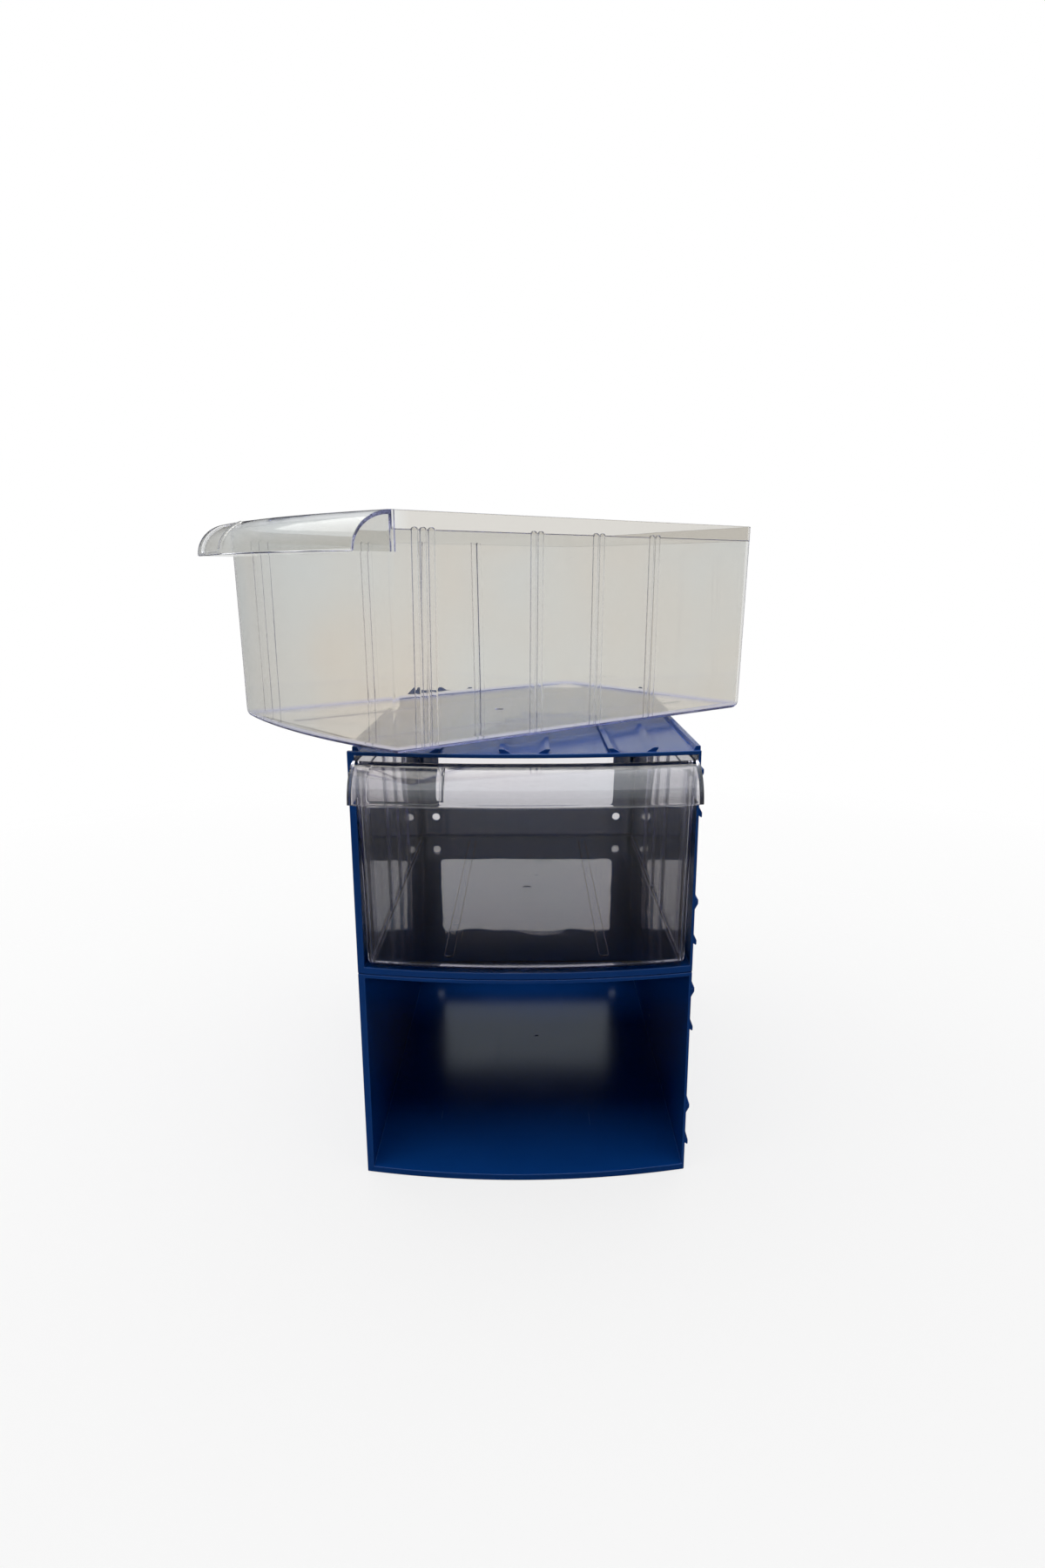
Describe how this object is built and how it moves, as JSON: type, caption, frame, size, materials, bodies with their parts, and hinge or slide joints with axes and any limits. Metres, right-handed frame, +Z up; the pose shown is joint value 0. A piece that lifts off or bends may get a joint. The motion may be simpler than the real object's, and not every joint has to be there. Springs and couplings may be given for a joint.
{
  "type": "stackable drawer parts organizer",
  "caption": "Stackable parts organizer: open-front plastic housings joined by dovetail rails, with clear hooded drawers, one shut in its bay and one set askew on top.",
  "frame": {"origin": "middle of the bottom face of the lower housing's front border, where it meets the table", "axes": "+Z up, +Y from the open front towards the back wall, +X to the right seen from the front"},
  "size_m": [0.3614, 0.3455, 0.3965],
  "materials": {
    "housing_blue": "semi-gloss moulded plastic, deep blue",
    "drawer_clear": "clear crystal plastic, bluish at the edges"
  },
  "bodies": {
    "lower_module": {"lower_housing": "housing_blue"},
    "upper_module": {"upper_housing": "housing_blue"},
    "drawer_in_bay": {"fitted_drawer": "drawer_clear"},
    "drawer_on_top": {"loose_drawer": "drawer_clear"}
  },
  "joints": [
    {"name": "stack_slide", "type": "slide", "parent": "lower_module", "child": "upper_module", "axis": [0, -1, 0], "range_m": [0, 0.28]},
    {"name": "drawer_slide", "type": "slide", "parent": "upper_module", "child": "drawer_in_bay", "axis": [0, -1, 0], "range_m": [0, 0.26]},
    {"name": "drawer_lift", "type": "slide", "parent": "upper_module", "child": "drawer_on_top", "axis": [0, 0, 1], "range_m": [0, 0.15]}
  ]
}
